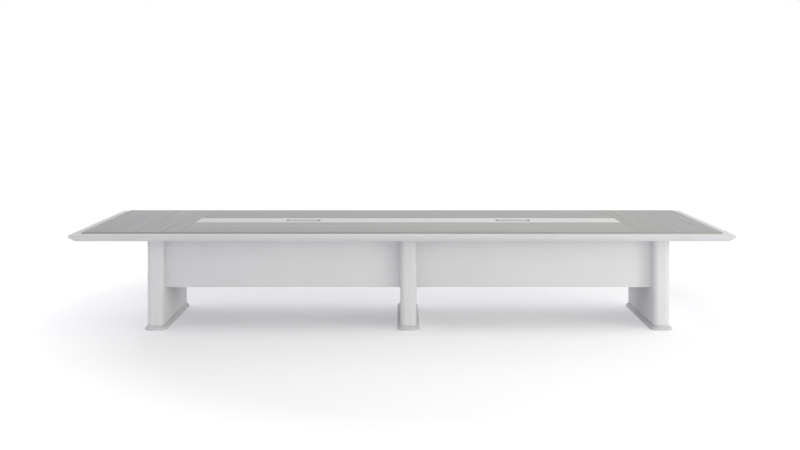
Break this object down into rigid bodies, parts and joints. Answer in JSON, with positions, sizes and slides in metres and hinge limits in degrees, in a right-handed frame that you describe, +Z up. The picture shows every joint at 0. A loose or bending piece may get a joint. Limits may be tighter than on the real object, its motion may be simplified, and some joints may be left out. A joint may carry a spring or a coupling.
{
  "type": "conference table",
  "caption": "Long rectangular conference table with a framed veneer top, a white centre strip with flip-lid cable boxes, slab legs on flared plinths and modesty panels.",
  "frame": {"origin": "on the floor, under the middle of the top's outline", "axes": "+X along the table's length, to the right seen from the front; +Y across it, away from the front; +Z up"},
  "size_m": [4.7, 1.6, 0.75],
  "materials": {
    "grey_veneer": "matt grey-stained wood veneer",
    "border_laminate": "pale grey satin laminate on board",
    "strip_laminate": "white satin laminate on board",
    "leg_laminate": "pale grey satin laminate on board",
    "modesty_laminate": "pale grey satin laminate on board",
    "plinth_laminate": "light grey satin paint on board",
    "chipboard": "bare chipboard",
    "beam_steel": "grey powder coat",
    "satin_aluminium": "satin anodised",
    "pin_steel": "bare turned steel",
    "tray_steel": "dark powder coat",
    "socket_plastic": "moulded dark plastic",
    "foot_plastic": "moulded dark plastic"
  },
  "bodies": {
    "table": {"edge_rail_front": "border_laminate", "edge_rail_back": "border_laminate", "edge_rail_left": "border_laminate", "edge_rail_right": "border_laminate", "end_panel_left": "grey_veneer", "end_panel_right": "grey_veneer", "centre_panel_front": "grey_veneer", "centre_panel_back": "grey_veneer", "centre_strip": "strip_laminate", "core_board_left": "chipboard", "core_board_right": "chipboard", "leg_left_side_left": "leg_laminate", "leg_left_side_right": "leg_laminate", "leg_left_post_front": "leg_laminate", "leg_left_post_back": "leg_laminate", "leg_left_cleat": "chipboard", "plinth_left": "plinth_laminate", "leg_middle_side_left": "leg_laminate", "leg_middle_side_right": "leg_laminate", "leg_middle_post_front": "leg_laminate", "leg_middle_post_back": "leg_laminate", "leg_middle_cleat": "chipboard", "plinth_middle": "plinth_laminate", "leg_right_side_left": "leg_laminate", "leg_right_side_right": "leg_laminate", "leg_right_post_front": "leg_laminate", "leg_right_post_back": "leg_laminate", "leg_right_cleat": "chipboard", "plinth_right": "plinth_laminate", "modesty_panel_front_left": "modesty_laminate", "beam_front_left": "beam_steel", "modesty_panel_back_left": "modesty_laminate", "beam_back_left": "beam_steel", "modesty_panel_front_right": "modesty_laminate", "beam_front_right": "beam_steel", "modesty_panel_back_right": "modesty_laminate", "beam_back_right": "beam_steel", "cable_box_bezel_left": "satin_aluminium", "cable_box_pin_left": "pin_steel", "cable_box_tray_left": "tray_steel", "socket_module_left": "socket_plastic", "cable_box_bezel_right": "satin_aluminium", "cable_box_pin_right": "pin_steel", "cable_box_tray_right": "tray_steel", "socket_module_right": "socket_plastic"},
    "lid_left": {"cable_box_lid_left": "satin_aluminium"},
    "lid_right": {"cable_box_lid_right": "satin_aluminium"},
    "foot_left_front": {"foot_left_front": "foot_plastic"},
    "foot_left_back": {"foot_left_back": "foot_plastic"},
    "foot_middle_front": {"foot_middle_front": "foot_plastic"},
    "foot_middle_back": {"foot_middle_back": "foot_plastic"},
    "foot_right_front": {"foot_right_front": "foot_plastic"},
    "foot_right_back": {"foot_right_back": "foot_plastic"}
  },
  "joints": [
    {"name": "lid_left_hinge", "type": "hinge", "parent": "table", "child": "lid_left", "pos_m": [-0.76275, 0.039, 0.745], "axis": [-1, 0, 0], "range_deg": [0, 100]},
    {"name": "lid_right_hinge", "type": "hinge", "parent": "table", "child": "lid_right", "pos_m": [0.85875, 0.039, 0.745], "axis": [-1, 0, 0], "range_deg": [0, 100]},
    {"name": "foot_left_front_screw", "type": "slide", "parent": "table", "child": "foot_left_front", "axis": [0, 0, -1], "range_m": [0, 0.012]},
    {"name": "foot_left_back_screw", "type": "slide", "parent": "table", "child": "foot_left_back", "axis": [0, 0, -1], "range_m": [0, 0.012]},
    {"name": "foot_middle_front_screw", "type": "slide", "parent": "table", "child": "foot_middle_front", "axis": [0, 0, -1], "range_m": [0, 0.012]},
    {"name": "foot_middle_back_screw", "type": "slide", "parent": "table", "child": "foot_middle_back", "axis": [0, 0, -1], "range_m": [0, 0.012]},
    {"name": "foot_right_front_screw", "type": "slide", "parent": "table", "child": "foot_right_front", "axis": [0, 0, -1], "range_m": [0, 0.012]},
    {"name": "foot_right_back_screw", "type": "slide", "parent": "table", "child": "foot_right_back", "axis": [0, 0, -1], "range_m": [0, 0.012]}
  ]
}
